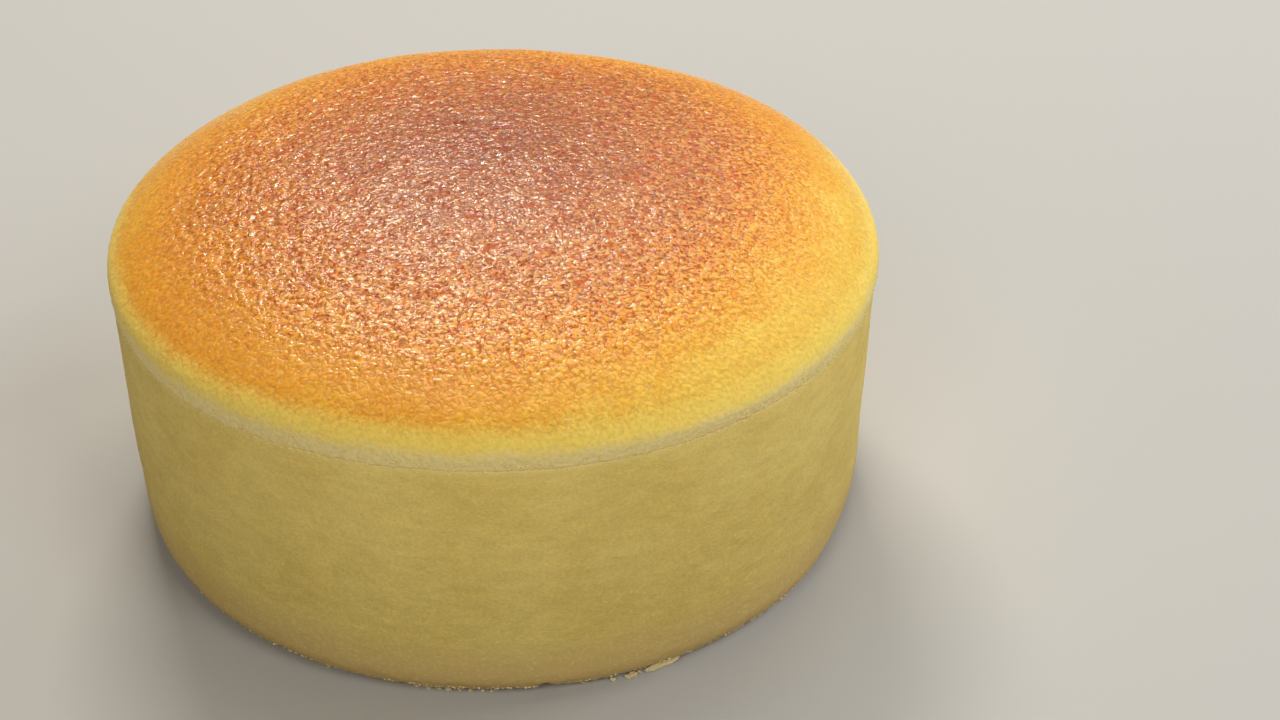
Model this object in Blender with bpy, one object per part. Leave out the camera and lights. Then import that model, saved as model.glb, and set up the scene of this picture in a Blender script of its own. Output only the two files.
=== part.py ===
"""A jiggly cheesecake: one whole, uncut round cake, as it comes out of its tin.

The cake is a single solid turned round the Z axis. From the board up it has a flat
underside, a rounded bottom edge, a nearly straight side with a faint waist, a shallow
crease, a puffed lip where the top has risen over the tin's rim, and a domed top. The
turned form is then made a little out of true, as a soft cake is: slow waves run round
its edge, the dome stands higher at the back right, the crease climbs at the front
right, and the bottom edge draws in at two places.

Metres, +Z up. The origin is the middle of the underside, on the surface it rests on.
"""

import math

import bmesh
import bpy

MM = 0.001

# Driving dimensions
CAKE_DIAMETER = 150 * MM      # across the widest part of the browned top
CAKE_HEIGHT = 74 * MM         # board to the middle of the dome
SIDE_HEIGHT = 52 * MM         # board to the crease under the lip
SIDE_TOP_DIAMETER = 149 * MM  # across the side, just below the crease
BASE_DIAMETER = 147.4 * MM    # across the side, just above the rounded bottom edge
BASE_ROUND = 6 * MM           # radius of the bottom edge
WAIST_DEPTH = 0.3 * MM        # how far the side draws in halfway up
CREASE_DEPTH = 0.15 * MM      # from the side in to the bottom of the crease
CREASE_REACH = 3 * MM         # from the bottom of the crease down to the plain side
LIP_RISE = 4 * MM             # from the crease up to the widest part
DOME_FULLNESS = 1.92          # 2 is an ellipse, more is flatter with a squarer shoulder

# Unevenness of the baked form
OUT_OF_ROUND = 0.3 * MM       # slow wave of the radius
LIP_WAVE = 0.45 * MM          # three rises of the lip round the cake
LIP_RIPPLE = 0.25 * MM        # five smaller rises
LIP_WAVE_PEAK = math.radians(-105)
DOME_LEAN = 1.3 * MM          # how much higher the dome stands at the back right
DOME_LEAN_PLACE = math.radians(40)
CREASE_RISE = 1.7 * MM        # the crease climbs, and the lip thins, at the front right
CREASE_RISE_PLACE = math.radians(-55)
CREASE_RISE_HALF_WIDTH = math.radians(36)
CREASE_RISE_BELOW = 20 * MM   # how far down the side it fades out
CREASE_RISE_ABOVE = 6 * MM    # how far up over the lip it fades out

# Places where the bottom edge draws in: angle, half width, depth and height.
DENTS = (
    (math.radians(-20), math.radians(13), 1.2 * MM, 16 * MM),
    (math.radians(-163), math.radians(24), 1.4 * MM, 26 * MM),
)

# Fineness of the faceted form
SEGMENTS = 96
ROUND_STEPS = 6
SIDE_STEPS = 5
LIP_STEPS = 5
DOME_STEPS = 20
MERGE_DISTANCE = 0.01 * MM

# Look of the baked sponge
SPONGE_COLOUR = (0.60, 0.42, 0.14, 1.0)
SPONGE_ROUGHNESS = 0.7


def clear_scene():
    for item in list(bpy.data.objects):
        bpy.data.objects.remove(item, do_unlink=True)


def bottom_edge():
    """Quarter round from the flat underside up to the side."""
    centre = BASE_DIAMETER / 2 - BASE_ROUND
    points = []
    for step in range(ROUND_STEPS + 1):
        turn = math.pi / 2 * step / ROUND_STEPS
        points.append((centre + BASE_ROUND * math.sin(turn),
                       BASE_ROUND * (1 - math.cos(turn))))
    return points


def side():
    """Side of the cake, from above the bottom edge to just below the crease."""
    bottom_radius = BASE_DIAMETER / 2
    top_radius = SIDE_TOP_DIAMETER / 2
    top_height = SIDE_HEIGHT - CREASE_REACH
    points = []
    for step in range(1, SIDE_STEPS + 1):
        part = step / SIDE_STEPS
        radius = bottom_radius + (top_radius - bottom_radius) * part
        radius -= WAIST_DEPTH * math.sin(math.pi * part)
        points.append((radius, BASE_ROUND + (top_height - BASE_ROUND) * part))
    return points


def lip():
    """The crease, and the puffed lip from there out to the widest part."""
    crease_radius = SIDE_TOP_DIAMETER / 2 - CREASE_DEPTH
    overhang = CAKE_DIAMETER / 2 - crease_radius
    points = []
    for step in range(LIP_STEPS + 1):
        part = step / LIP_STEPS
        points.append((crease_radius + overhang * math.sin(math.pi / 2 * part),
                       SIDE_HEIGHT + LIP_RISE * part))
    return points


def dome():
    """Browned top, from the widest part to the middle, as a superellipse."""
    edge_height = SIDE_HEIGHT + LIP_RISE
    rise = CAKE_HEIGHT - edge_height
    power = 2 / DOME_FULLNESS
    points = []
    for step in range(1, DOME_STEPS):
        turn = math.pi / 2 * step / DOME_STEPS
        points.append((CAKE_DIAMETER / 2 * math.cos(turn) ** power,
                       edge_height + rise * math.sin(turn) ** power))
    return points + [(0.0, CAKE_HEIGHT)]


def turn_profile(mesh, points):
    """Spin the profile once round Z into a closed body."""
    chain = [mesh.verts.new((radius, 0.0, height)) for radius, height in points]
    edges = [mesh.edges.new(pair) for pair in zip(chain, chain[1:])]
    bmesh.ops.spin(mesh, geom=chain + edges, cent=(0, 0, 0), axis=(0, 0, 1),
                   dvec=(0, 0, 0), angle=2 * math.pi, steps=SEGMENTS, use_merge=True)
    bmesh.ops.remove_doubles(mesh, verts=mesh.verts, dist=MERGE_DISTANCE)


def smooth_step(value):
    value = min(max(value, 0.0), 1.0)
    return value * value * (3 - 2 * value)


def hump(angle, place, half_width):
    """1 at this place round the cake, falling smoothly to 0 on both sides of it."""
    away = (angle - place + math.pi) % (2 * math.pi) - math.pi
    return math.exp(-(away / half_width) ** 2)


def swell(angle, height):
    """How far the side stands out of round at this angle and height."""
    swollen = OUT_OF_ROUND * (0.7 * math.cos(2 * angle) + 0.3 * math.sin(3 * angle))
    for place, half_width, depth, dent_height in DENTS:
        near = hump(angle, place, half_width)
        swollen -= depth * near * (1 - smooth_step(height / dent_height))
    return swollen


def crease_climb(angle, height, reach):
    """How far the crease and the lip's lower half climb at the front right."""
    if height > SIDE_HEIGHT:
        away = (height - SIDE_HEIGHT) / CREASE_RISE_ABOVE
    else:
        away = (SIDE_HEIGHT - height) / CREASE_RISE_BELOW
    near = hump(angle, CREASE_RISE_PLACE, CREASE_RISE_HALF_WIDTH)
    return CREASE_RISE * near * (1 - smooth_step(away)) * reach ** 8


def lift(angle, height, reach):
    """How far the lip and the dome stand above their turned height."""
    from_peak = angle - LIP_WAVE_PEAK
    wave = LIP_WAVE * math.cos(3 * from_peak) + LIP_RIPPLE * math.cos(5 * from_peak)
    lean = DOME_LEAN * math.cos(angle - DOME_LEAN_PLACE) * (1 - reach ** 8)
    above_round = smooth_step((height - BASE_ROUND) / (SIDE_HEIGHT - BASE_ROUND))
    risen = above_round * reach * (wave * reach ** 3 + lean)
    return risen + crease_climb(angle, height, reach)


def make_uneven(mesh):
    """Slow waves round the cake; the flat underside stays flat."""
    for vert in mesh.verts:
        radius = math.hypot(vert.co.x, vert.co.y)
        if radius < MERGE_DISTANCE:
            continue
        angle = math.atan2(vert.co.y, vert.co.x)
        height = vert.co.z
        reach = radius / (CAKE_DIAMETER / 2)
        stretch = 1 + swell(angle, height) * reach ** 2 / radius
        vert.co.x *= stretch
        vert.co.y *= stretch
        vert.co.z += lift(angle, height, reach)


def centre_on_origin(mesh):
    """Bring the middle of the cake's box back over the origin."""
    for axis in (0, 1):
        values = [vert.co[axis] for vert in mesh.verts]
        middle = (min(values) + max(values)) / 2
        for vert in mesh.verts:
            vert.co[axis] -= middle


def sponge_material():
    material = bpy.data.materials.new("sponge")
    material.use_nodes = True
    shader = material.node_tree.nodes["Principled BSDF"]
    shader.inputs["Base Color"].default_value = SPONGE_COLOUR
    shader.inputs["Roughness"].default_value = SPONGE_ROUGHNESS
    shader.inputs["Metallic"].default_value = 0.0
    return material


def build_cheesecake():
    mesh = bmesh.new()
    underside = [(0.0, 0.0)]
    turn_profile(mesh, underside + bottom_edge() + side() + lip() + dome())
    make_uneven(mesh)
    centre_on_origin(mesh)
    bmesh.ops.recalc_face_normals(mesh, faces=mesh.faces)

    data = bpy.data.meshes.new("cheesecake")
    mesh.to_mesh(data)
    mesh.free()
    data.shade_smooth()
    data.materials.append(sponge_material())
    cake = bpy.data.objects.new("cheesecake", data)
    bpy.context.scene.collection.objects.link(cake)
    return cake


clear_scene()
build_cheesecake()
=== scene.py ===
"""Looks of a jiggly cheesecake: its browned, pebbly top, its pale lip, its porous side and
the few crumbs at its bottom edge. Metres, +Z up, the front of the cake towards -Y."""

import math
import random

import bmesh
import bpy
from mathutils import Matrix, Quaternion, Vector, noise

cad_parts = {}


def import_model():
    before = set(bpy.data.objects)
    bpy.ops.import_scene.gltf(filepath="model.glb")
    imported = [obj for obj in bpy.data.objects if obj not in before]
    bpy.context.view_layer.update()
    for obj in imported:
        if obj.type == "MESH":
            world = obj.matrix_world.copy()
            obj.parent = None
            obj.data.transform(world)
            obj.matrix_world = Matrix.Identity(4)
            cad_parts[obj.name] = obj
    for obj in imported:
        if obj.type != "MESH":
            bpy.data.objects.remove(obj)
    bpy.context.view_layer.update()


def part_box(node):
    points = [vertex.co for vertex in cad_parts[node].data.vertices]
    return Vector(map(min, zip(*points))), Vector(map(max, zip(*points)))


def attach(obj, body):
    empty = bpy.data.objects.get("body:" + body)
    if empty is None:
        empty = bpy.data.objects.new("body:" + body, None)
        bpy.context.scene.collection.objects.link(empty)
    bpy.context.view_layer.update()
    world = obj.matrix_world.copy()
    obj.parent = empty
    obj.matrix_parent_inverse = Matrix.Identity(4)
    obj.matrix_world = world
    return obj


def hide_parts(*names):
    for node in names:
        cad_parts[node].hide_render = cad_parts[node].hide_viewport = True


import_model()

MM = 0.001

# ---------------------------------------------------------------- sizes of the cake
# The turned form of the solid, whose width and height come from the frame.

CAKE_LOW, CAKE_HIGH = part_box("cheesecake")
CAKE_RADIUS = (CAKE_HIGH.x - CAKE_LOW.x + CAKE_HIGH.y - CAKE_LOW.y) / 4
CAKE_HEIGHT = CAKE_HIGH.z - CAKE_LOW.z

CREASE_HEIGHT = 52 * MM       # board to the crease under the lip
SIDE_TOP_RADIUS = CAKE_RADIUS - 0.5 * MM
BASE_RADIUS = CAKE_RADIUS - 1.3 * MM
BASE_ROUND = 6 * MM
WAIST_DEPTH = 0.3 * MM
CREASE_DEPTH = 0.15 * MM
CREASE_REACH = 3 * MM
LIP_RISE = 4 * MM
DOME_FULLNESS = 1.92

OUT_OF_ROUND = 0.3 * MM       # slow wave of the radius
LIP_WAVE = 0.45 * MM          # three rises of the lip round the cake
LIP_RIPPLE = 0.25 * MM        # five smaller rises
LIP_WAVE_PEAK = math.radians(-105)
DOME_LEAN = 1.3 * MM          # the dome stands higher at the back right
DOME_LEAN_PLACE = math.radians(40)
CREASE_RISE = 1.7 * MM        # the crease climbs, and the lip thins, at the front right
CREASE_RISE_PLACE = math.radians(-55)
CREASE_RISE_HALF_WIDTH = math.radians(36)
CREASE_RISE_BELOW = 20 * MM
CREASE_RISE_ABOVE = 6 * MM

# Places where the bottom edge draws in: angle, half width, depth and height.
DENTS = (
    (math.radians(-20), math.radians(13), 1.2 * MM, 16 * MM),
    (math.radians(-163), math.radians(24), 1.4 * MM, 26 * MM),
)

TUCK = 1.8 * MM               # how far each piece runs on, hidden, past the crease
CRUST_TUCK_DROP = 0.4 * MM
SIDE_TUCK_RISE = 1.2 * MM

CRUST_RINGS = 174
SIDE_SEGMENTS = 820
SIDE_ROWS = 100


def smooth_step(value):
    value = min(max(value, 0.0), 1.0)
    return value * value * (3 - 2 * value)


def between(value, low, high):
    """0 below low, 1 above high, and smooth from one to the other."""
    return smooth_step((value - low) / (high - low))


def hump(angle, place, half_width):
    """1 at this place round the cake, falling smoothly to 0 on both sides of it."""
    away = (angle - place + math.pi) % (2 * math.pi) - math.pi
    return math.exp(-(away / half_width) ** 2)


def swell(angle, height):
    """How far the side stands out of round at this angle and height."""
    swollen = OUT_OF_ROUND * (0.7 * math.cos(2 * angle) + 0.3 * math.sin(3 * angle))
    for place, half_width, depth, dent_height in DENTS:
        near = hump(angle, place, half_width)
        swollen -= depth * near * (1 - smooth_step(height / dent_height))
    return swollen


def crease_climb(angle, height, reach):
    """How far the crease and the lip's lower half climb at the front right."""
    if height > CREASE_HEIGHT:
        away = (height - CREASE_HEIGHT) / CREASE_RISE_ABOVE
    else:
        away = (CREASE_HEIGHT - height) / CREASE_RISE_BELOW
    near = hump(angle, CREASE_RISE_PLACE, CREASE_RISE_HALF_WIDTH)
    return CREASE_RISE * near * (1 - smooth_step(away)) * reach ** 8


def lift(angle, height, reach):
    """How far the lip and the dome stand above their turned height."""
    from_peak = angle - LIP_WAVE_PEAK
    wave = LIP_WAVE * math.cos(3 * from_peak) + LIP_RIPPLE * math.cos(5 * from_peak)
    lean = DOME_LEAN * math.cos(angle - DOME_LEAN_PLACE) * (1 - reach ** 8)
    above_round = smooth_step((height - BASE_ROUND) / (CREASE_HEIGHT - BASE_ROUND))
    risen = above_round * reach * (wave * reach ** 3 + lean)
    return risen + crease_climb(angle, height, reach)


def on_cake(angle, radius, height):
    """A point of the turned form, carried along by the cake's slow unevenness."""
    reach = radius / CAKE_RADIUS
    radius += swell(angle, height) * reach ** 2
    height += lift(angle, height, reach)
    return Vector((radius * math.cos(angle), radius * math.sin(angle), height))


# ---------------------------------------------------------------- profiles

class Profile:
    """A line of (radius, height) points, read by the distance run along it."""

    def __init__(self, points):
        self.points = points
        self.marks = [0.0]
        for (r0, z0), (r1, z1) in zip(points, points[1:]):
            self.marks.append(self.marks[-1] + math.hypot(r1 - r0, z1 - z0))
        self.length = self.marks[-1]

    def at(self, run):
        wanted = min(max(run, 0.0), self.length)
        low, high = 0, len(self.marks) - 1
        while high - low > 1:
            middle = (low + high) // 2
            if self.marks[middle] <= wanted:
                low = middle
            else:
                high = middle
        part = (wanted - self.marks[low]) / (self.marks[high] - self.marks[low])
        r0, z0 = self.points[low]
        r1, z1 = self.points[high]
        return r0 + (r1 - r0) * part, z0 + (z1 - z0) * part


def crust_profile(steps=400):
    """From the middle of the dome over the shoulder and the lip, down to the crease."""
    edge_height = CREASE_HEIGHT + LIP_RISE
    rise = CAKE_HEIGHT - edge_height
    power = 2 / DOME_FULLNESS
    points = [(0.0, CAKE_HEIGHT)]
    for step in range(1, steps):
        turn = math.pi / 2 * (1 - step / steps)
        points.append((CAKE_RADIUS * math.cos(turn) ** power,
                       edge_height + rise * math.sin(turn) ** power))
    crease_radius = SIDE_TOP_RADIUS - CREASE_DEPTH
    overhang = CAKE_RADIUS - crease_radius
    for step in range(steps // 8 + 1):
        part = 1 - step / (steps // 8)
        points.append((crease_radius + overhang * math.sin(math.pi / 2 * part),
                       CREASE_HEIGHT + LIP_RISE * part))
    return Profile(points)


def side_profile(steps=60):
    """From the crease down the side and round the bottom edge to the underside."""
    points = [(SIDE_TOP_RADIUS - CREASE_DEPTH, CREASE_HEIGHT)]
    top_height = CREASE_HEIGHT - CREASE_REACH
    for step in range(steps + 1):
        part = 1 - step / steps
        radius = BASE_RADIUS + (SIDE_TOP_RADIUS - BASE_RADIUS) * part
        radius -= WAIST_DEPTH * math.sin(math.pi * part)
        points.append((radius, BASE_ROUND + (top_height - BASE_ROUND) * part))
    for step in range(1, steps // 4 + 1):
        turn = math.pi / 2 * (1 - step / (steps // 4))
        points.append((BASE_RADIUS - BASE_ROUND * (1 - math.sin(turn)),
                       BASE_ROUND * (1 - math.cos(turn))))
    return Profile(points)


CRUST = crust_profile()
SIDE = side_profile()

# ---------------------------------------------------------------- relief of the crust
# The crust is read laid out flat, in millimetres from its middle. A "run" is the distance
# from the middle along the crust. A pair of runs says where something starts and ends. A
# noise's detail says how fast its finer layers fade, how much finer each is, and how many
# there are.

PEBBLE = 1.6                  # width of a pebble of the browned skin
PEBBLE_SHEET = 0.3            # each kind of grain is read from a sheet of noise of its own
PEBBLE_HEIGHT = 0.23 * MM
FINE_PEBBLE = 0.95
FINE_PEBBLE_SHEET = 7.9
FINE_PEBBLE_HEIGHT = 0.13 * MM
PEBBLE_LEVEL = 0.4            # the part of a grain that stands level with the turned form
PEBBLE_BEND = 0.35            # how far the valleys wander, and over what, in grain widths
PEBBLE_BEND_WIDTH = 2.3
PEBBLE_BEND_SEED = 7
PEBBLE_GAIN = 2.2
PEBBLES_FADE = (52.0, 72.0)
PATCH = 9.0                   # the pebbles are stronger in some patches than in others
PATCH_MIDDLE = 0.75
PATCH_SWAY = 0.5
PEBBLES_PLAIN = 1.05          # strength of the pebbles away from the wrinkles
PEBBLES_CALMED = 0.5          # and how much of it the wrinkles take away
FINE_AT_RIM = 0.5             # share of the fine pebbles that is left at the rim

WRINKLE_LENGTH = 2.4
WRINKLE_WIDTH = 1.1
WRINKLE_MIDDLE = 0.5
WRINKLE_HEIGHT = 0.20 * MM
WRINKLES_START = (24, 40)
WRINKLES_END = (60, 68)
LEFT_START = (12, 42)         # millimetres to the left, where the pebbles grow strong again

UNDULATION = 13.0
UNDULATION_HEIGHT = 0.22 * MM
UNDULATION_FADE = (66, 76)

MARK_LENGTH = 2.9
MARK_WIDTH = 1.5
MARK_SHEET = 4.7
MARK_RAGGEDNESS = 0.35
MARK_RAG = 1.1                # width of the small bites in a mark's edge
MARK_EDGE = (0.37, 0.47)      # higher leaves fewer and smaller marks
MARKS_FADE = (40, 52)
MARK_DEPTH = 0.14 * MM
MARK_SMOOTHNESS = 0.6

GRAIN_SHARES = (0.55, 0.45, 0.3)    # of pebbles, fine pebbles and wrinkles
VALLEY_AT_RIM = 0.3

LIP_ROUGHNESS = 0.17 * MM
TEAR = 1.1 * MM               # width of a tear of the lip
TEAR_DETAIL = (0.8, 2.1, 2)
LIP_TEARS_START = (79.0, 81.0)

noise.seed_set(PEBBLE_BEND_SEED)    # noise_vector would otherwise differ from run to run


def pebbles(flat, width, sheet):
    """Rounded grains with sharp valleys between them, from 0 to 1."""
    bend = noise.noise_vector(flat / (PEBBLE_BEND_WIDTH * width)) * PEBBLE_BEND
    bent = flat / width + bend
    bent.z = sheet
    return min(abs(noise.noise(bent)) * PEBBLE_GAIN, 1.0)


def wrinkles(flat):
    """Fine wrinkles that run round the cake."""
    around = flat / WRINKLE_LENGTH
    wrinkle = noise.noise(Vector((around.x, around.y, flat.length / WRINKLE_WIDTH)))
    return WRINKLE_MIDDLE + wrinkle


def browned_marks(flat):
    """Small glossy scars, where the skin was thin and browned more: 1 inside a scar."""
    found = noise.noise(Vector((flat.x / MARK_LENGTH, flat.y / MARK_WIDTH, MARK_SHEET)))
    found += MARK_RAGGEDNESS * noise.noise(flat / MARK_RAG)
    return between(found, *MARK_EDGE) * (1 - between(flat.length, *MARKS_FADE))


def torn_skin(place):
    """The fine tears of the lip, on both sides of the crease."""
    return LIP_ROUGHNESS * noise.fractal(place / TEAR, *TEAR_DETAIL)


def crust_relief(flat, place):
    """The height of the skin over the turned form, with its valleys and its marks."""
    run = flat.length
    skin = 1 - between(run, *PEBBLES_FADE)
    patch = PATCH_MIDDLE + PATCH_SWAY * noise.noise(flat / PATCH)
    coarse = pebbles(flat, PEBBLE, PEBBLE_SHEET)
    fine = pebbles(flat, FINE_PEBBLE, FINE_PEBBLE_SHEET)
    wrinkled = between(run, *WRINKLES_START) * (1 - between(run, *WRINKLES_END))
    calm = wrinkled * (1 - between(-flat.x, *LEFT_START))
    strength = PEBBLES_PLAIN - PEBBLES_CALMED * calm
    fine_strength = FINE_AT_RIM + (1 - FINE_AT_RIM) * skin
    wrinkle = wrinkles(flat)
    mark = browned_marks(flat)
    height = UNDULATION_HEIGHT * noise.noise(flat / UNDULATION)
    height *= 1 - between(run, *UNDULATION_FADE)
    height += skin * patch * (coarse - PEBBLE_LEVEL) * PEBBLE_HEIGHT * strength
    height += fine_strength * (fine - PEBBLE_LEVEL) * FINE_PEBBLE_HEIGHT
    height += wrinkled * (wrinkle - WRINKLE_MIDDLE) * WRINKLE_HEIGHT
    height *= 1 - MARK_SMOOTHNESS * mark
    height -= mark * MARK_DEPTH
    height += between(run, *LIP_TEARS_START) * torn_skin(place)
    coarse_share, fine_share, wrinkle_share = GRAIN_SHARES
    grain = coarse_share * coarse + fine_share * fine + wrinkle_share * wrinkled * wrinkle
    # The skin's material darkens these valleys: partly the skin's own colour, partly painted
    # shade.
    valley = (1 - min(grain, 1.0)) * (VALLEY_AT_RIM + (1 - VALLEY_AT_RIM) * skin)
    return height, valley, mark


# ---------------------------------------------------------------- relief of the side
# Widths are in millimetres.

SIDE_WAVE = 14.0
SIDE_WAVE_HEIGHT = 0.16 * MM
GRAIN = 1.25
GRAIN_DETAIL = (0.9, 2.0, 2)
GRAIN_HEIGHT = 0.06 * MM
STREAK_LENGTH = 4.5           # faint wrinkles that lie level
STREAK_WIDTH = 1.1
STREAK_HEIGHT = 0.09 * MM
PORE = 1.5
PORE_SHIFT = Vector((31.0, 5.0, 12.0))
PORE_EDGE = (0.46, 0.66)      # higher leaves fewer and smaller pores
PORE_DEPTH = 0.14 * MM
RAG = 0.9                     # width of a crumb of the ragged bottom edge
LONG_RAG = 3.4
LONG_RAG_SHARE = 0.6
RAGGED_DEPTH = 0.45 * MM
RAGGED_HEIGHT = 3.4 * MM
MOST_RAGGED = 0.2             # up to here as a share of that height
NOTCH_PLACE = math.radians(-84.2)
NOTCH_HALF_WIDTH = math.radians(0.5)
NOTCH_DEPTH = 2.6 * MM


def side_relief(angle, place):
    """The height of the sponge over the turned form, and how deep in a pore it is."""
    spot = place / MM
    level = Vector((spot.x / STREAK_LENGTH, spot.y / STREAK_LENGTH, spot.z / STREAK_WIDTH))
    wave = SIDE_WAVE_HEIGHT * noise.noise(spot / SIDE_WAVE)
    grain = GRAIN_HEIGHT * noise.fractal(spot / GRAIN, *GRAIN_DETAIL)
    streak = STREAK_HEIGHT * noise.noise(level)
    pore = between(noise.noise(spot / PORE + PORE_SHIFT), *PORE_EDGE)
    height = wave + grain + streak - pore * PORE_DEPTH
    low = 1 - between(place.z, MOST_RAGGED * RAGGED_HEIGHT, RAGGED_HEIGHT)
    if low > 0:
        ragged = noise.noise(spot / RAG) + LONG_RAG_SHARE * noise.noise(spot / LONG_RAG)
        height += low * RAGGED_DEPTH * ragged
        across = (angle - NOTCH_PLACE) / NOTCH_HALF_WIDTH
        height -= low * NOTCH_DEPTH * math.exp(-across * across)
    return height, pore


# ---------------------------------------------------------------- crust and side

def finish_piece(name, mesh, material):
    bmesh.ops.recalc_face_normals(mesh, faces=mesh.faces)
    data = bpy.data.meshes.new(name)
    mesh.to_mesh(data)
    mesh.free()
    data.shade_smooth()
    data.materials.append(material)
    piece = bpy.data.objects.new(name, data)
    bpy.context.scene.collection.objects.link(piece)
    return piece


HEXAGON = 6
SECTOR = 2 * math.pi / HEXAGON
AT_MIDDLE = 1e-9


def hexagon_disc(rings):
    """An even net of small triangles inside a circle of radius 1."""
    mesh = bmesh.new()
    bmesh.ops.create_circle(mesh, cap_ends=True, cap_tris=True, segments=HEXAGON, radius=1)
    bmesh.ops.subdivide_edges(mesh, edges=mesh.edges, cuts=rings - 1, use_grid_fill=True)
    for vert in mesh.verts:
        across, along = vert.co.x, vert.co.y
        distance = math.hypot(across, along)
        if distance < AT_MIDDLE:
            continue
        angle = math.atan2(along, across)
        part = (angle + SECTOR / 2) % SECTOR - SECTOR / 2
        ring = distance * math.cos(part) / math.cos(SECTOR / 2)
        side_place = math.tan(part) / math.tan(SECTOR / 2)
        turn = angle - part + side_place * SECTOR / 2
        vert.co = Vector((ring * math.cos(turn), ring * math.sin(turn), 0))
    return mesh


def is_hidden_cap(face):
    """The two pieces are nets of triangles and squares; only their caps have more sides."""
    return len(face.verts) > 4


CRUST_MAP_SIZE = 0.485        # radius of the laid-out crust, as a share of the map
CRUST_MAP_MIDDLE = 0.5
HIDDEN_MAP_SIZE = 0.06
HIDDEN_MAP_MIDDLE = 0.07


def lay_out_disc(mesh, flat_layer):
    """The crust's map is the crust laid out flat, with its hidden floor in one corner."""
    layer = mesh.loops.layers.uv.new("OFBake")
    for face in mesh.faces:
        hidden = is_hidden_cap(face)
        middle = HIDDEN_MAP_MIDDLE if hidden else CRUST_MAP_MIDDLE
        size = HIDDEN_MAP_SIZE if hidden else CRUST_MAP_SIZE
        for loop in face.loops:
            flat = loop.vert[flat_layer].xy * MM / CRUST.length
            loop[layer].uv = Vector((middle, middle)) + flat * size


EDGE_DROP = 0.22 * MM         # how far the crust's torn edge hangs over the crease
EDGE_REACH = 2.5              # millimetres of crust that hang with it
EDGE_LOBE = 6 * MM
EDGE_TOOTH = 1.6 * MM
EDGE_TOOTH_SHARE = 0.7
EDGE_MIDDLE = 0.6
TUCK_ON_MAP = 1.012           # the tucked rim lies just outside the crust on its map


def crust(material):
    mesh = hexagon_disc(CRUST_RINGS)
    flat_layer = mesh.verts.layers.float_vector.new("flat")
    valley_layer = mesh.verts.layers.float.new("valley")
    mark_layer = mesh.verts.layers.float.new("mark")
    run_layer = mesh.verts.layers.float.new("run")
    for vert in mesh.verts:
        angle = math.atan2(vert.co.y, vert.co.x)
        run = vert.co.to_2d().length * CRUST.length
        vert[flat_layer] = vert.co * CRUST.length / MM
        vert[run_layer] = run / MM
        radius, height = CRUST.at(run)
        vert.co = on_cake(angle, radius, height)
    bmesh.ops.recalc_face_normals(mesh, faces=mesh.faces)
    mesh.normal_update()

    moves = []
    for vert in mesh.verts:
        height, valley, mark = crust_relief(vert[flat_layer], vert.co)
        vert[valley_layer] = valley
        vert[mark_layer] = mark
        moves.append(vert.normal * height)
    edge_run = CRUST.length / MM
    for vert, move in zip(mesh.verts, moves):
        vert.co += move
        at_edge = between(vert[run_layer], edge_run - EDGE_REACH, edge_run)
        torn = noise.noise(vert.co / EDGE_LOBE)
        torn += EDGE_TOOTH_SHARE * noise.noise(vert.co / EDGE_TOOTH)
        vert.co.z -= at_edge * EDGE_DROP * (EDGE_MIDDLE + torn)

    edge = [edge for edge in mesh.edges if edge.is_boundary]
    tucked = bmesh.ops.extrude_edge_only(mesh, edges=edge)["geom"]
    for vert in tucked:
        if isinstance(vert, bmesh.types.BMVert):
            shrink = 1 - TUCK / CAKE_RADIUS
            vert.co.x *= shrink
            vert.co.y *= shrink
            vert.co.z -= CRUST_TUCK_DROP
            vert[flat_layer] = vert[flat_layer] * TUCK_ON_MAP
    edge = [edge for edge in mesh.edges if edge.is_boundary]
    bmesh.ops.contextual_create(mesh, geom=edge)
    lay_out_disc(mesh, flat_layer)
    return finish_piece("crust", mesh, material)


# The side's map is the side unrolled, in three strips one above the other, with its two
# hidden caps beside them.
STRIPS = 3
STRIP_TURN = 2 * math.pi / STRIPS
STRIP_RISE = 65.0             # millimetres from one strip to the next
STRIP_MARGIN = 4.0
STRIP_SCALE = 5.0             # thousandths of the map for each millimetre
CAP_MAP_ACROSS = 0.89
CAP_MAP_HEIGHTS = (0.12, 0.36)    # underside and top
CAP_MAP_SIZE = 0.1


def lay_out_side(mesh, run_layer):
    layer = mesh.loops.layers.uv.new("OFBake")
    for face in mesh.faces:
        middle = face.calc_center_median()
        face_angle = math.atan2(middle.y, middle.x) % (2 * math.pi)
        strip = min(int(face_angle / STRIP_TURN), STRIPS - 1)
        cap_height = CAP_MAP_HEIGHTS[middle.z > CREASE_HEIGHT / 2]
        for loop in face.loops:
            place = loop.vert.co
            if is_hidden_cap(face):
                spot = place.xy / CAKE_RADIUS * CAP_MAP_SIZE
                loop[layer].uv = (CAP_MAP_ACROSS + spot.x, cap_height + spot.y)
                continue
            turn = math.atan2(place.y, place.x) - face_angle
            turn = (turn + math.pi) % (2 * math.pi) - math.pi
            along = (face_angle + turn - strip * STRIP_TURN) * CAKE_RADIUS / MM
            down = loop.vert[run_layer] + strip * STRIP_RISE
            loop[layer].uv = ((STRIP_MARGIN + along) * STRIP_SCALE / 1000,
                              (STRIP_MARGIN + down) * STRIP_SCALE / 1000)


# Runs down the side, in millimetres below the crease.
RELIEF_STARTS = (-0.5, 1.5)
TEARS_END = (0.5, 3.5)
ON_BOARD = 0.05 * MM          # lower than this, the side rests flat on the board
JUST_ABOVE_BOARD = 0.02 * MM


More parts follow.
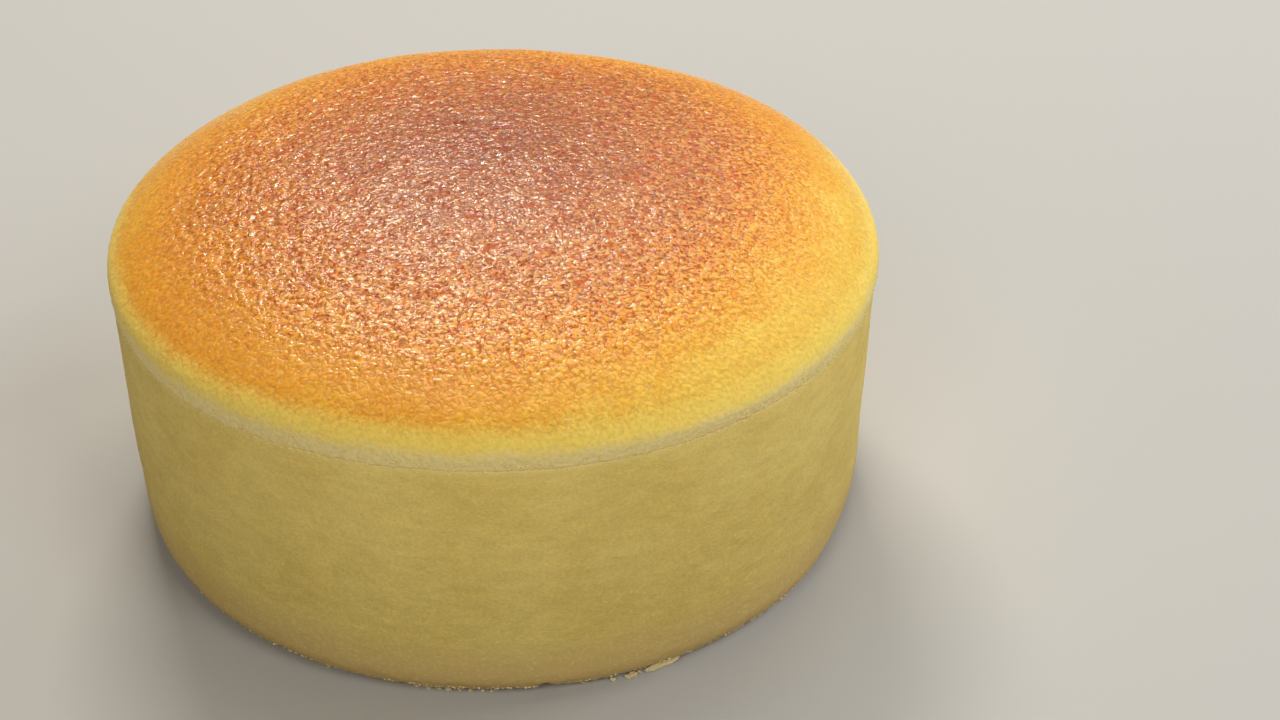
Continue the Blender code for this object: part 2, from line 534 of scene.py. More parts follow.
def side(material):
    mesh = bmesh.new()
    run_layer = mesh.verts.layers.float.new("run")
    pore_layer = mesh.verts.layers.float.new("pore")
    crease_radius, crease_height = SIDE.at(0)
    chain = [mesh.verts.new((crease_radius - TUCK, 0, crease_height + SIDE_TUCK_RISE))]
    chain[0][run_layer] = -TUCK / MM
    for row in range(SIDE_ROWS + 1):
        run = SIDE.length * row / SIDE_ROWS
        radius, height = SIDE.at(run)
        vert = mesh.verts.new((radius, 0, height))
        vert[run_layer] = run / MM
        chain.append(vert)
    edges = [mesh.edges.new(pair) for pair in zip(chain, chain[1:])]
    bmesh.ops.spin(mesh, geom=chain + edges, cent=(0, 0, 0), axis=(0, 0, 1), dvec=(0, 0, 0),
                   angle=2 * math.pi, steps=SIDE_SEGMENTS, use_merge=True)
    for vert in mesh.verts:
        angle = math.atan2(vert.co.y, vert.co.x)
        vert.co = on_cake(angle, vert.co.to_2d().length, vert.co.z)
    bmesh.ops.recalc_face_normals(mesh, faces=mesh.faces)
    mesh.normal_update()

    moves = []
    for vert in mesh.verts:
        angle = math.atan2(vert.co.y, vert.co.x)
        height, pore = side_relief(angle, vert.co)
        shown = between(vert[run_layer], *RELIEF_STARTS)
        vert[pore_layer] = pore * shown
        torn = torn_skin(vert.co) * (1 - between(vert[run_layer], *TEARS_END))
        moves.append(vert.normal * (height * shown + torn))
    for vert, move in zip(mesh.verts, moves):
        at_base = vert.co.z < ON_BOARD
        vert.co += move
        vert.co.z = 0.0 if at_base else max(vert.co.z, JUST_ABOVE_BOARD)

    holes = [edge for edge in mesh.edges if edge.is_boundary]
    for is_top in (True, False):
        ring = [edge for edge in holes if (edge.verts[0].co.z > CREASE_HEIGHT / 2) == is_top]
        bmesh.ops.contextual_create(mesh, geom=ring)
    lay_out_side(mesh, run_layer)
    return finish_piece("side", mesh, material)


# ---------------------------------------------------------------- crumbs
# Sizes here are radii in millimetres, and spreads say how much longer, wider and taller
# than round a crumb may be.

CRUMB_CRAGGINESS = 0.9
CRUMB_CRAG = 1.3              # crags across a crumb's radius


def crumb(mesh, place, size, seed, subdivisions=1):
    """A craggy lump of sponge round this place."""
    made = bmesh.ops.create_icosphere(mesh, subdivisions=subdivisions, radius=1)["verts"]
    offset = Vector((seed * 3.7, seed * 1.9, seed * 7.3))
    turn = Quaternion(Vector((1, seed % 3, 0.5)).normalized(), seed * 1.7)
    for vert in made:
        shape = 1 + CRUMB_CRAGGINESS * noise.noise(vert.co * CRUMB_CRAG + offset)
        vert.co = turn @ vert.co
        vert.co = Vector((vert.co.x * size.x, vert.co.y * size.y, vert.co.z * size.z)) * shape
        vert.co += place


def rest_on_board(mesh):
    for vert in mesh.verts:
        vert.co.z = max(vert.co.z, 0.0)


FRINGE_CRUMBS = 1500
FRINGE_SEED = 11
FRINGE_HEIGHTS = (0.5, 2.6)
FRINGE_SIZE = 0.11
FRINGE_EXTRA_SIZE = 0.22      # the few largest are this much larger
FRINGE_SPREAD = (0.8, 1.4)
FRINGE_FLATNESS = (0.6, 1.0)


def fringe(material):
    """Tiny crumbs that cling to the bottom edge all round, apart from the notch."""
    chance = random.Random(FRINGE_SEED)
    mesh = bmesh.new()
    for number in range(FRINGE_CRUMBS):
        angle = 2 * math.pi * (number + chance.random()) / FRINGE_CRUMBS
        if abs(angle - 2 * math.pi - NOTCH_PLACE) < 2 * NOTCH_HALF_WIDTH:
            continue
        height = chance.uniform(*FRINGE_HEIGHTS) * MM
        size = (FRINGE_SIZE + FRINGE_EXTRA_SIZE * chance.random() ** 2) * MM
        turn = math.acos(1 - height / BASE_ROUND)
        radius = BASE_RADIUS - BASE_ROUND * (1 - math.sin(turn))
        place = on_cake(angle, radius, height)
        place.z = max(place.z, size)
        shape = Vector((chance.uniform(*FRINGE_SPREAD), chance.uniform(*FRINGE_SPREAD),
                        chance.uniform(*FRINGE_FLATNESS))) * size
        crumb(mesh, place, shape, number)
    rest_on_board(mesh)
    return finish_piece("fringe", mesh, material)


LIP_FUZZ_CRUMBS = 2600
LIP_FUZZ_SEED = 23
LIP_FUZZ_RUN = (-3.0, 1.6, 0.0)    # millimetres below the crease: from, to, most at
LIP_FUZZ_SIZE = 0.09
LIP_FUZZ_EXTRA_SIZE = 0.13
LIP_FUZZ_SPREAD = (0.8, 1.7)
LIP_FUZZ_FLATNESS = 0.8


def lip_fuzz(material):
    """Tiny torn flecks along the lip, where the side was pulled off its mould."""
    chance = random.Random(LIP_FUZZ_SEED)
    mesh = bmesh.new()
    for number in range(LIP_FUZZ_CRUMBS):
        angle = 2 * math.pi * (number + chance.random()) / LIP_FUZZ_CRUMBS
        below = chance.triangular(*LIP_FUZZ_RUN) * MM
        if below < 0:
            radius, height = CRUST.at(CRUST.length + below)
        else:
            radius, height = SIDE.at(below)
        place = on_cake(angle, radius, height)
        size = (LIP_FUZZ_SIZE + LIP_FUZZ_EXTRA_SIZE * chance.random() ** 2) * MM
        shape = Vector((chance.uniform(*LIP_FUZZ_SPREAD), chance.uniform(*LIP_FUZZ_SPREAD),
                        LIP_FUZZ_FLATNESS)) * size
        crumb(mesh, place, shape, number)
    return finish_piece("lip_fuzz", mesh, material)


# Loose crumbs on the board: angle in degrees, distance out from the base, size in mm.
LOOSE_CRUMBS = (
    (-73.9, 0.5, 0.50), (-71.5, 0.6, 0.55), (-70.7, 0.7, 0.72), (-69.6, 0.0, 0.45),
    (-103.6, -0.4, 0.36), (-101.8, -0.3, 0.44), (-100.1, -0.4, 0.34), (-98.7, -0.3, 0.46),
    (-97.1, -0.4, 0.36), (-95.4, -0.3, 0.42), (-93.6, -0.4, 0.38), (-92.3, -0.4, 0.30),
    (-78.4, -0.4, 0.30), (-118.0, -0.4, 0.3), (64.0, 0.2, 0.5), (101.0, 0.1, 0.45),
    (168.0, 0.0, 0.4), (12.0, 0.0, 0.4),
)
LOOSE_CRUMB_SHAPE = Vector((1.1, 0.9, 0.7))
LOOSE_CRUMB_SINK = 0.55       # height of a crumb's middle over the board, in its sizes
LOOSE_CRUMB_FIRST_SEED = 5
FOOT_RADIUS = BASE_RADIUS - 2.6 * MM


def loose_crumbs(material):
    mesh = bmesh.new()
    for number, (degrees, out, size) in enumerate(LOOSE_CRUMBS):
        angle = math.radians(degrees)
        place = on_cake(angle, FOOT_RADIUS + out * MM, 0)
        place.z = size * LOOSE_CRUMB_SINK * MM
        crumb(mesh, place, LOOSE_CRUMB_SHAPE * size * MM, number + LOOSE_CRUMB_FIRST_SEED,
              subdivisions=3)
    rest_on_board(mesh)
    return finish_piece("loose_crumbs", mesh, material)


# A torn flake of crumb that leans out from the bottom edge, a little right of the front.
FLAKE_PLACE = math.radians(-65.9)
FLAKE_HALF_LENGTH = 3.6 * MM
FLAKE_HEIGHT = 2.2 * MM
FLAKE_THICKNESS = 0.8 * MM
FLAKE_OUT = 0.5 * MM
FLAKE_CRAG = 2.4              # crags across the flake
FLAKE_DETAIL = (0.8, 2.0, 3)
FLAKE_SHEET = Vector((3.1, 8.2, 0.7))
FLAKE_LOW_END = 0.35          # height of the flake's left end, as a share of its right end
FLAKE_GROWS = (-0.9, 0.6)     # where it grows, from -1 at its left end to 1 at its right end
FLAKE_BLUNTNESS = 0.8         # below 1 makes the ends blunter than a round lump's
FLAKE_TOP_RAG = 0.25          # how much the crags move its top, its ends and its faces
FLAKE_END_RAG = 0.12
FLAKE_FACE_RAG = 0.5
FLAKE_FACE_MIDDLE = 0.8
FLAKE_LEAN = 0.2              # how far its top leans back, in thicknesses


def flake(material):
    mesh = bmesh.new()
    bmesh.ops.create_icosphere(mesh, subdivisions=5, radius=1)
    middle = on_cake(FLAKE_PLACE, FOOT_RADIUS + FLAKE_OUT, 0)
    along = Vector((-math.sin(FLAKE_PLACE), math.cos(FLAKE_PLACE), 0))
    outward = Vector((math.cos(FLAKE_PLACE), math.sin(FLAKE_PLACE), 0))
    for vert in mesh.verts:
        length_part, thick_part, high_part = vert.co
        rough = noise.fractal(vert.co * FLAKE_CRAG + FLAKE_SHEET, *FLAKE_DETAIL)
        grown = FLAKE_LOW_END + (1 - FLAKE_LOW_END) * between(length_part, *FLAKE_GROWS)
        length_part = math.copysign(abs(length_part) ** FLAKE_BLUNTNESS, length_part)
        tall = (0.5 + 0.5 * high_part) * (1 + FLAKE_TOP_RAG * rough)
        thick = thick_part * (FLAKE_FACE_MIDDLE + FLAKE_FACE_RAG * rough) - tall * FLAKE_LEAN
        long = length_part * (1 + FLAKE_END_RAG * rough)
        place = middle + along * (long * FLAKE_HALF_LENGTH)
        place += outward * thick * FLAKE_THICKNESS
        place.z = max(tall * grown * FLAKE_HEIGHT, 0.0)
        vert.co = place
    return finish_piece("flake", mesh, material)


# ---------------------------------------------------------------- materials
# Lengths, heights and the widths of lumps of noise are in millimetres. A ramp's numbers
# are: from, to, and what it gives at each end where that isn't 0 and 1.

NOISE_LUMP = 0.7              # width of a lump of noise, in cells of that noise
NOISE_MIDDLE = 0.5
FOLD_GAIN = 6.0


class Maker:
    """Adds the nodes of one material and joins them."""

    def __init__(self, name):
        self.material = bpy.data.materials.new(name)
        self.material.use_nodes = True
        self.tree = self.material.node_tree
        self.shader = self.tree.nodes["Principled BSDF"]

    def add(self, kind, values=(), **settings):
        node = self.tree.nodes.new("ShaderNode" + kind)
        for setting, value in settings.items():
            setattr(node, setting, value)
        for socket, value in dict(values).items():
            self.give(node.inputs[socket], value)
        return node

    def give(self, socket, value):
        if isinstance(value, bpy.types.NodeSocket):
            self.tree.links.new(value, socket)
        elif socket.type == "RGBA":
            socket.default_value = (*value, 1)
        else:
            socket.default_value = value

    def maths(self, operation, first, second=0.0, third=0.0):
        return self.add("Math", {0: first, 1: second, 2: third}, operation=operation).outputs[0]

    def times(self, first, second):
        return self.maths("MULTIPLY", first, second)

    def swayed(self, value, lumps, most):
        """The value moved up and down by a noise, by up to half of this each way."""
        away = self.maths("SUBTRACT", lumps, NOISE_MIDDLE)
        return self.maths("MULTIPLY_ADD", away, most, value)

    def place(self):
        """Object coordinates in millimetres."""
        coordinates = self.add("TexCoord").outputs["Object"]
        return self.add("VectorMath", {0: coordinates, "Scale": 1 / MM},
                        operation="SCALE").outputs[0]

    def own(self, name):
        """The value of this name that the piece's mesh carries."""
        return self.add("Attribute", attribute_name=name).outputs["Fac"]

    def noise(self, place, width, detail=2.0, roughness=0.5, stretch=(1, 1, 1)):
        """Soft noise whose lumps are about this wide, from 0 to 1."""
        scaled = self.add("VectorMath", {0: place, 1: stretch}, operation="MULTIPLY").outputs[0]
        return self.add("TexNoise", {"Vector": scaled, "Scale": NOISE_LUMP / width,
                                     "Detail": detail, "Roughness": roughness}).outputs["Fac"]

    def cells(self, place, width):
        """The distance from the middles of scattered cells, in cells."""
        values = {"Vector": place, "Scale": 1 / width}
        return self.add("TexVoronoi", values, feature="F1").outputs["Distance"]

    def folds(self, place, width):
        """Rounded grains between thin valleys: 0 in a valley, about 1 on a grain."""
        away = self.maths("SUBTRACT", self.noise(place, width, detail=1), NOISE_MIDDLE)
        steep = self.times(self.maths("ABSOLUTE", away), FOLD_GAIN)
        return self.maths("MINIMUM", steep, 1.0)

    def toned(self, colour, tone):
        """The colour made lighter or darker by this factor."""
        return self.add("VectorMath", {0: colour, "Scale": tone}, operation="SCALE").outputs[0]

    def ramp(self, value, low, high, to_low=0.0, to_high=1.0):
        return self.add("MapRange", {"Value": value, "From Min": low, "From Max": high,
                                     "To Min": to_low, "To Max": to_high},
                        interpolation_type="SMOOTHSTEP").outputs["Result"]

    def colours(self, value, stops, longest):
        """A run of colours along a value in millimetres."""
        share = self.maths("DIVIDE", value, longest)
        node = self.add("ValToRGB", {"Fac": share})
        band = node.color_ramp
        band.interpolation = "EASE"
        while len(band.elements) < len(stops):
            band.elements.new(0.5)
        for element, (stop, colour) in zip(band.elements, stops):
            element.position = stop / longest
            element.color = (*colour, 1)
        return node.outputs["Color"]

    def distance_from(self, place, centre):
        """The level distance from a place on the cake."""
        away = self.add("VectorMath", {0: place, 1: centre}, operation="SUBTRACT").outputs[0]
        level = self.add("VectorMath", {0: away, 1: (1, 1, 0)}, operation="MULTIPLY").outputs[0]
        return self.add("VectorMath", {0: level}, operation="LENGTH").outputs["Value"]

    def towards(self, place, degrees, low, high, most):
        """Grows to this much between two distances out in one direction."""
        turn = math.radians(degrees)
        out = self.add("VectorMath", {0: place, 1: (math.cos(turn), math.sin(turn), 0)},
                       operation="DOT_PRODUCT").outputs["Value"]
        return self.ramp(out, low, high, 0.0, most)

    def mix(self, share, first, second, blend="MIX"):
        node = self.add("Mix", {0: share}, data_type="RGBA", blend_type=blend)
        self.give(node.inputs[6], first)
        self.give(node.inputs[7], second)
        return node.outputs[2]

    def tinted(self, share, colour, tint):
        return self.mix(share, colour, tint, "MULTIPLY")

    def finish(self, colour, roughness, height, bump_reach, specular):
        bump = self.add("Bump", {"Height": height, "Distance": bump_reach})
        self.give(self.shader.inputs["Normal"], bump.outputs["Normal"])
        self.give(self.shader.inputs["Base Color"], colour)
        self.give(self.shader.inputs["Roughness"], roughness)
        self.give(self.shader.inputs["Specular IOR Level"], specular)
        return self.material


# Colours of the browned skin by the distance from where it browned most.
BROWNING_CENTRE = (-2.0, 5.0, 0.0)
BROWNING = (
    (0, (0.41, 0.112, 0.028)),
    (23, (0.50, 0.168, 0.044)),
    (37, (0.60, 0.218, 0.047)),
    (50, (0.72, 0.280, 0.044)),
    (57, (0.80, 0.325, 0.034)),
    (65, (0.86, 0.380, 0.034)),
    (72, (0.89, 0.455, 0.047)),
    (80, (0.90, 0.575, 0.088)),
)
BROWNING_REACH = 90.0
BROWNING_BROAD_SWAY = 16.0
BROWNING_SMALL_SWAY = 9.0
# Where it browned less or more: direction in degrees, from and to how far out that way,
# and what is added to the distance.
BROWNING_LEANS = (
    (-115, 45, 68, -6.0),
    (-26, 34, 64, 7.0),
    (118, 14, 42, 8.0),
    (180, 44, 62, -3.5),
)

BROAD_LUMP = 16
SMALL_LUMP = 3.2
SPECK = 0.6
FOLD = 1.1
SKIN_GRAIN = 0.5
FLECK = 0.8
PATCH_LUMP = 2.0
GLOSS_LUMP = 0.7

# Pits, tips and flecks grow faint along the run, and out in this direction. The pits' darker
# colour is partly the skin's own and partly painted shade in its valleys, and the lighter tips
# are a painted highlight.
SKIN_SHARE = (50, 72, 1.0, 0.3)
SKIN_CALM = (-25, 38, 64, 0.25)
PIT_IN_VALLEY = (0.5, 1.0)
PIT_IN_FOLD = (0.30, 0.0)
PIT_IN_GRAIN = (0.47, 0.35)
# Darker in the pits: partly the skin's own colour, partly painted shade.
PIT_COLOUR_AND_SHADE = (0.46, 0.25, 0.15)
TIP_IN_GRAIN = (0.50, 0.64)
# Painted highlight: the tops of the grain are made lighter.
PAINTED_TIP_HIGHLIGHT = 0.30
FLECKS_BY_RUN = (8, 40, 0.35, 1.0)
RED_FLECKS = (0.48, 0.37)
RED_FLECK_TINT = (0.96, 0.63, 0.36)
PALE_FLECKS = (0.56, 0.68, 0.0, 0.3)
PALE_FLECK = (0.98, 0.62, 0.20)
SMOOTH_PATCHES = (0.57, 0.66)
SMOOTH_PATCHES_BY_RUN = (42, 58, 1.0, 0.0)
PATCH_TINT = (0.98, 0.78, 0.60)
MARK_DEEP = (0.30, 0.036, 0.007)
MARK_COLOUR = (0.50, 0.085, 0.006)
MARK_BY_DISTANCE = (10, 36)
MARK_SHARE = 0.92
SPECK_TONE = (0.25, 0.75, 0.93, 1.07)

# Runs at which the golden rim and the pale lip begin and are full.
RIM = (72.6, 78.0)
LIP = (77.6, 81.6)
RIM_COLOUR = (1.0, 0.72, 0.14)
RIM_TONE = (0.35, 0.62, 0.93, 1.06)
RIM_LEAN = 0.007              # the rim browned lower on the left
RIM_SMALL_SWAY = 2.6
RIM_SPECK_SWAY = 1.6
LIP_COLOUR = (0.95, 0.775, 0.335)
LIP_SHADE = (0.88, 0.70, 0.27)
LIP_SPECKS = (0.35, 0.65)

GLOSS = (0.47, 0.55, 0.13, 0.38)    # gives the roughness of the glossy and the dull spots
PATCH_ROUGHNESS = 0.25
FRONT_ROUGHNESS = (-85, 15, 50, 0.09)
PIT_ROUGHNESS = 0.3
RIM_ROUGHNESS = (72, 80, 0.0, 0.45)
MOST_ROUGHNESS = 0.8
FOLD_HEIGHT = 0.8
BUMP_BY_RUN = (58, 74, 1.0, 0.7)
SKIN_BUMP = 0.10 * MM


def crust_material():
    make = Maker("browned skin")
    place = make.place()
    run = make.own("run")
    broad = make.noise(place, BROAD_LUMP, detail=3)
    small = make.noise(place, SMALL_LUMP)
    speck = make.noise(place, SPECK, detail=1)
    folds = make.folds(place, FOLD)
    grain = make.noise(place, SKIN_GRAIN)

    distance = make.distance_from(place, BROWNING_CENTRE)
    distance = make.swayed(distance, broad, BROWNING_BROAD_SWAY)
    distance = make.swayed(distance, small, BROWNING_SMALL_SWAY)
    for lean in BROWNING_LEANS:
        distance = make.maths("ADD", distance, make.towards(place, *lean))
    colour = make.colours(distance, BROWNING, BROWNING_REACH)

    calm = make.maths("SUBTRACT", 1.0, make.towards(place, *SKIN_CALM))
    skin = make.times(make.ramp(run, *SKIN_SHARE), calm)
    # Darker in the pits and valleys of the skin: partly its own colour, partly painted shade.
    pit_and_shade = make.maths("MAXIMUM", make.ramp(make.own("valley"), *PIT_IN_VALLEY),
                     make.ramp(folds, *PIT_IN_FOLD))
    pit_and_shade = make.maths("MAXIMUM", pit_and_shade, make.ramp(grain, *PIT_IN_GRAIN))
    colour = make.tinted(make.times(pit_and_shade, skin), colour, PIT_COLOUR_AND_SHADE)
    # Lighter on the tops of the grain: a painted highlight.
    painted_tip_highlight = make.times(make.ramp(grain, *TIP_IN_GRAIN), skin)
    colour = make.toned(colour, make.maths("MULTIPLY_ADD", painted_tip_highlight, PAINTED_TIP_HIGHLIGHT, 1.0))

    fleck = make.noise(place, FLECK)
    flecked = make.times(make.ramp(run, *FLECKS_BY_RUN), skin)
    reddened = make.times(make.ramp(fleck, *RED_FLECKS), flecked)
    colour = make.tinted(reddened, colour, RED_FLECK_TINT)
    paled = make.times(make.ramp(fleck, *PALE_FLECKS), flecked)
    colour = make.mix(paled, colour, PALE_FLECK)
    smooth_patch = make.times(make.ramp(make.noise(place, PATCH_LUMP), *SMOOTH_PATCHES),
                              make.ramp(run, *SMOOTH_PATCHES_BY_RUN))
    colour = make.tinted(smooth_patch, colour, PATCH_TINT)
    mark_colour = make.mix(make.ramp(distance, *MARK_BY_DISTANCE), MARK_DEEP, MARK_COLOUR)
    colour = make.mix(make.times(make.own("mark"), MARK_SHARE), colour, mark_colour)
    colour = make.toned(colour, make.ramp(speck, *SPECK_TONE))

    east = make.add("SeparateXYZ", {0: place}).outputs["X"]
    uneven_run = make.maths("MULTIPLY_ADD", east, RIM_LEAN, run)
    uneven_run = make.swayed(uneven_run, small, RIM_SMALL_SWAY)
    uneven_run = make.swayed(uneven_run, speck, RIM_SPECK_SWAY)
    rim_colour = make.toned(RIM_COLOUR, make.ramp(grain, *RIM_TONE))
    colour = make.mix(make.ramp(uneven_run, *RIM), colour, rim_colour)
    lip_colour = make.mix(make.ramp(speck, *LIP_SPECKS), LIP_SHADE, LIP_COLOUR)
    colour = make.mix(make.ramp(uneven_run, *LIP), colour, lip_colour)

    roughness = make.ramp(make.noise(place, GLOSS_LUMP, detail=1), *GLOSS)
    roughness = make.maths("MULTIPLY_ADD", smooth_patch, PATCH_ROUGHNESS, roughness)
    roughness = make.maths("ADD", roughness, make.towards(place, *FRONT_ROUGHNESS))
    roughness = make.maths("MULTIPLY_ADD", pit_and_shade, PIT_ROUGHNESS, roughness)
    roughness = make.maths("ADD", roughness, make.ramp(run, *RIM_ROUGHNESS))
    roughness = make.maths("MINIMUM", roughness, MOST_ROUGHNESS)

    height = make.maths("MULTIPLY_ADD", folds, FOLD_HEIGHT, grain)
    height = make.times(height, make.ramp(run, *BUMP_BY_RUN))
    return make.finish(colour, roughness, height, SKIN_BUMP, specular=0.5)


SIDE_PALE = (0.79, 0.60, 0.178)
SIDE_DEEP = (0.737, 0.543, 0.147)
# The foot's colour is partly the sponge's own tan and partly painted shade low on the side.
SIDE_FOOT_TAN_AND_SHADE = (0.62, 0.435, 0.160)
SIDE_FLECK = (0.86, 0.70, 0.25)
SIDE_FRINGE = (0.80, 0.64, 0.34)
# Painted shade in the pores and pinholes.
PORE_SHADE_COLOUR = (0.66, 0.46, 0.11)
PORE_SHADE_SHARE = 0.2

BLOTCH = 11
BLOTCH_SHARE = (0.3, 0.7)
SIDE_STREAK = 2.6
SIDE_STREAK_STRETCH = (0.7, 0.7, 1.6)    # the streaks lie level
SIDE_STREAK_TONE = (0.25, 0.75, 0.95, 1.05)
SIDE_GRAIN = 0.35
SIDE_GRAIN_STRETCH = (0.8, 0.8, 1.2)
SIDE_GRAIN_TONE = (0.25, 0.75, 0.92, 1.08)
# Painted shade: the side is darker towards the bottom and lighter towards the top.
PAINTED_SHADE_BY_HEIGHT = (14, 48, 0.92, 1.05)
FOOT_TAN_AND_SHADE_BY_HEIGHT = (16, 5)
SIDE_FLECK_LUMP = 0.45
SIDE_FLECK_STRETCH = (0.75, 0.75, 1.2)
SIDE_FLECKS = (0.50, 0.70, 0.0, 0.28)
FRINGE_SWAY = 3.0
FRINGE_BY_HEIGHT = (2.6, 1.0, 0.0, 0.7)
PINHOLE_CELL = 1.5
PINHOLE = (0.20, 0.08)
PINHOLES_IN_BLOTCH = (0.45, 0.6)
PINHOLE_DEPTH = 0.4
CREASE_SWAY = 2.0
LIP_BELOW_CREASE = (-0.8, 1.6, 0.9, 0.0)
SIDE_BUMP_LUMP = 0.5
SIDE_BUMP = 0.10 * MM
SIDE_ROUGHNESS = 0.85


def side_material():
    make = Maker("sponge")
    place = make.place()
    height_up = make.add("SeparateXYZ", {0: place}).outputs["Z"]
    blotch = make.noise(place, BLOTCH, detail=3)
    streak = make.noise(place, SIDE_STREAK, stretch=SIDE_STREAK_STRETCH)
    grain = make.noise(place, SIDE_GRAIN, roughness=0.6, stretch=SIDE_GRAIN_STRETCH)
    fleck = make.noise(place, SIDE_FLECK_LUMP, stretch=SIDE_FLECK_STRETCH)

    colour = make.mix(make.ramp(blotch, *BLOTCH_SHARE), SIDE_DEEP, SIDE_PALE)
    tone = make.times(make.ramp(grain, *SIDE_GRAIN_TONE), make.ramp(streak, *SIDE_STREAK_TONE))
    # Painted shade: darker towards the bottom of the side, lighter towards its top.
    tone = make.times(tone, make.ramp(height_up, *PAINTED_SHADE_BY_HEIGHT))
    colour = make.toned(colour, tone)
    # Towards the board: partly the sponge's own tan, partly painted shade.
    colour = make.mix(make.ramp(height_up, *FOOT_TAN_AND_SHADE_BY_HEIGHT), colour, SIDE_FOOT_TAN_AND_SHADE)
    colour = make.mix(make.ramp(fleck, *SIDE_FLECKS), colour, SIDE_FLECK)
    fleecy_height = make.swayed(height_up, fleck, FRINGE_SWAY)
    colour = make.mix(make.ramp(fleecy_height, *FRINGE_BY_HEIGHT), colour, SIDE_FRINGE)

    pinhole = make.ramp(make.cells(place, PINHOLE_CELL), *PINHOLE)
    shown_pinhole = make.times(pinhole, make.ramp(blotch, *PINHOLES_IN_BLOTCH))
    # Darker in the pores and pinholes: painted shade.
    dark = make.maths("MAXIMUM", make.own("pore"), shown_pinhole)
    colour = make.mix(make.times(dark, PORE_SHADE_SHARE), colour, PORE_SHADE_COLOUR)
    below_crease = make.swayed(make.own("run"), grain, CREASE_SWAY)
    colour = make.mix(make.ramp(below_crease, *LIP_BELOW_CREASE), colour, LIP_SHADE)

    bump = make.noise(place, SIDE_BUMP_LUMP, detail=3)
    height = make.maths("MULTIPLY_ADD", pinhole, -PINHOLE_DEPTH, bump)
    return make.finish(colour, SIDE_ROUGHNESS, height, SIDE_BUMP, specular=0.25)


CRUMB_COLOUR = (0.80, 0.69, 0.41)
CRUMB_SHADE = (0.68, 0.55, 0.28)
CRUMB_BUMP_LUMP = 0.3


def mottled_material(name, dark, pale, lump, roughness, bump_reach):
    """A dull material of two near colours, for the crumbs and the torn flecks."""
    make = Maker(name)
    place = make.place()
    colour = make.mix(make.noise(place, lump), dark, pale)
    return make.finish(colour, roughness, make.noise(place, CRUMB_BUMP_LUMP), bump_reach,
                       specular=0.2)


def crumb_material():
    return mottled_material("torn sponge", CRUMB_SHADE, CRUMB_COLOUR, lump=0.5,
                            roughness=0.9, bump_reach=0.05 * MM)


def lip_material():
    return mottled_material("torn lip", LIP_SHADE, LIP_COLOUR, lump=0.8,
                            roughness=0.85, bump_reach=0.03 * MM)


# ---------------------------------------------------------------- floor, light, camera

FLOOR_COLOUR = (0.5, 0.49, 0.47)
FLOOR_ROUGHNESS = 0.8
FLOOR_HALF_WIDTH = 4.0


def floor():
    make = Maker("floor")
    make.give(make.shader.inputs["Base Color"], FLOOR_COLOUR)
    make.give(make.shader.inputs["Roughness"], FLOOR_ROUGHNESS)
    mesh = bmesh.new()
    bmesh.ops.create_grid(mesh, x_segments=1, y_segments=1, size=FLOOR_HALF_WIDTH)
    finish_piece("floor", mesh, make.material)


def point_at(item, place, target):
    item.location = place
    item.rotation_mode = "QUATERNION"
    item.rotation_quaternion = (Vector(target) - Vector(place)).to_track_quat("-Z", "Y")


LIGHT_TARGET = Vector((0, 0, 50 * MM))
LIGHT_DISTANCE = 1.2
WHITE = (1, 1, 1)
WINDOW_COLOUR = (1.0, 0.94, 0.83)
SKY_COLOUR = (1.0, 0.97, 0.92)
COOL_COLOUR = (0.95, 1.0, 1.10)
WARM_COLOUR = (1.0, 0.97, 0.90)

# Rectangles of light that look at the cake: the direction round it and the height over it
# in degrees, width and height in metres, watts, colour, and whether the light shows in
# the gloss of the crust.
LIGHTS = (
    ("window", 99, 48, (0.44, 0.34), 8.7, WINDOW_COLOUR, True),
    ("wall", 62, 42, (0.6, 0.9), 2.5, WINDOW_COLOUR, True),
    ("sky", 88, 76, (0.55, 0.40), 2.0, SKY_COLOUR, True),
    ("right", 18, 25, (0.5, 0.5), 4.7, COOL_COLOUR, False),
    ("front_right", -52, 42, (0.5, 0.5), 3.4, WHITE, False),
    ("front_left", -108, 36, (0.5, 0.5), 3.6, WARM_COLOUR, False),
)
WORLD_COLOUR = (1.0, 0.95, 0.87)
WORLD_STRENGTH = 0.10


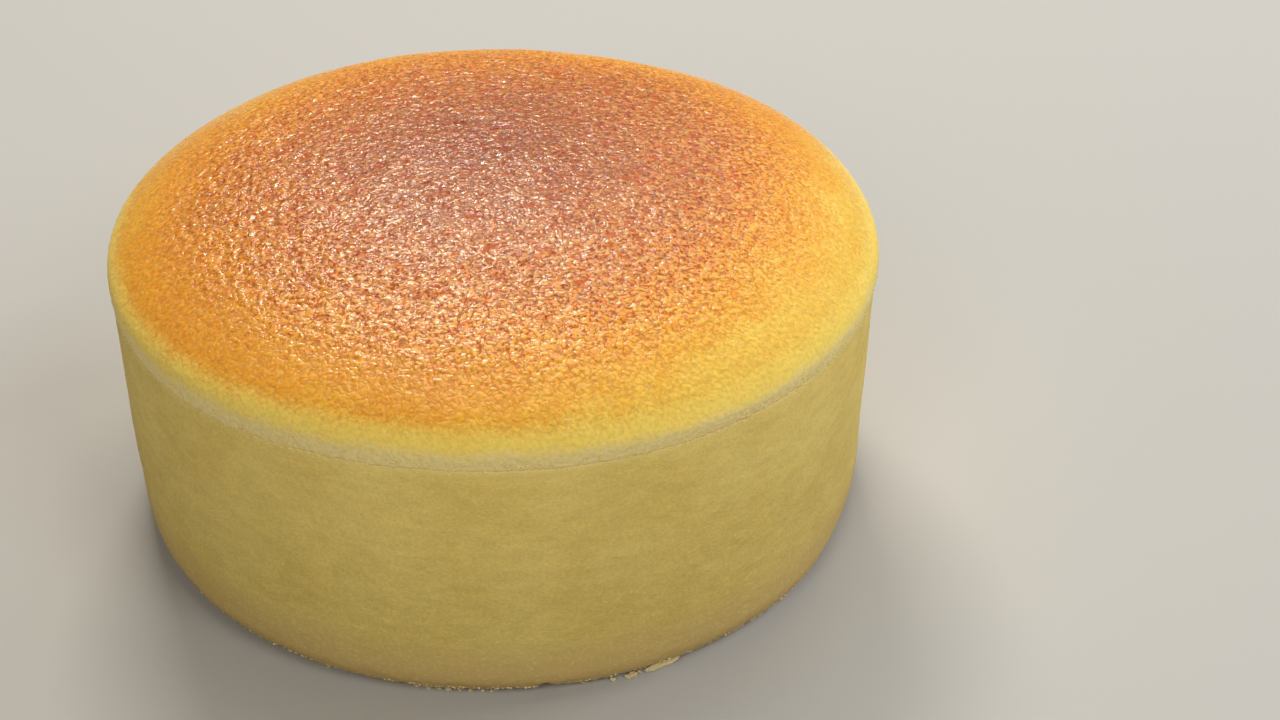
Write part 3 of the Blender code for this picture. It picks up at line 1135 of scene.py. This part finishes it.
def soft_box(name, azimuth, elevation, size, watts, colour, mirrored):
    light = bpy.data.lights.new(name, "AREA")
    light.shape = "RECTANGLE"
    light.size, light.size_y = size
    light.energy = watts
    light.color = colour
    item = bpy.data.objects.new(name, light)
    item.visible_glossy = mirrored
    bpy.context.scene.collection.objects.link(item)
    turn, rise = math.radians(azimuth), math.radians(elevation)
    ahead = Vector((math.cos(rise) * math.cos(turn), math.cos(rise) * math.sin(turn),
                    math.sin(rise)))
    point_at(item, LIGHT_TARGET + ahead * LIGHT_DISTANCE, LIGHT_TARGET)


def world():
    surroundings = bpy.data.worlds.new("surroundings")
    surroundings.use_nodes = True
    background = surroundings.node_tree.nodes["Background"]
    background.inputs["Color"].default_value = (*WORLD_COLOUR, 1)
    background.inputs["Strength"].default_value = WORLD_STRENGTH
    bpy.context.scene.world = surroundings


CAMERA_BACK = 408.3 * MM
CAMERA_UP = 296.6 * MM
CAMERA_TURN = math.radians(4.03)
CAMERA_DROP = math.radians(33.47)
CAMERA_ROLL = math.radians(0.87)
CAMERA_NEAREST = 10 * MM
LENS = 67.5                   # millimetres, as is the sensor
SENSOR_WIDTH = 36


def camera():
    data = bpy.data.cameras.new("camera")
    data.lens = LENS
    data.sensor_width = SENSOR_WIDTH
    data.clip_start = CAMERA_NEAREST
    item = bpy.data.objects.new("camera", data)
    bpy.context.scene.collection.objects.link(item)
    item.location = (0, -CAMERA_BACK, CAMERA_UP)
    ahead = Vector((math.sin(CAMERA_TURN) * math.cos(CAMERA_DROP),
                    math.cos(CAMERA_TURN) * math.cos(CAMERA_DROP),
                    -math.sin(CAMERA_DROP)))
    item.rotation_mode = "QUATERNION"
    item.rotation_quaternion = (ahead.to_track_quat("-Z", "Y")
                                @ Quaternion((0, 0, 1), CAMERA_ROLL))
    bpy.context.scene.camera = item


# ---------------------------------------------------------------- the whole

camera()
floor()
bpy.context.scene.view_settings.view_transform = "Standard"
world()
for light in LIGHTS:
    soft_box(*light)

torn = crumb_material()
pieces = [crust(crust_material()), side(side_material()), fringe(torn), lip_fuzz(lip_material()),
          flake(torn), loose_crumbs(torn)]
for piece in pieces:
    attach(piece, "root")
for piece in pieces[:2]:
    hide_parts("cheesecake")
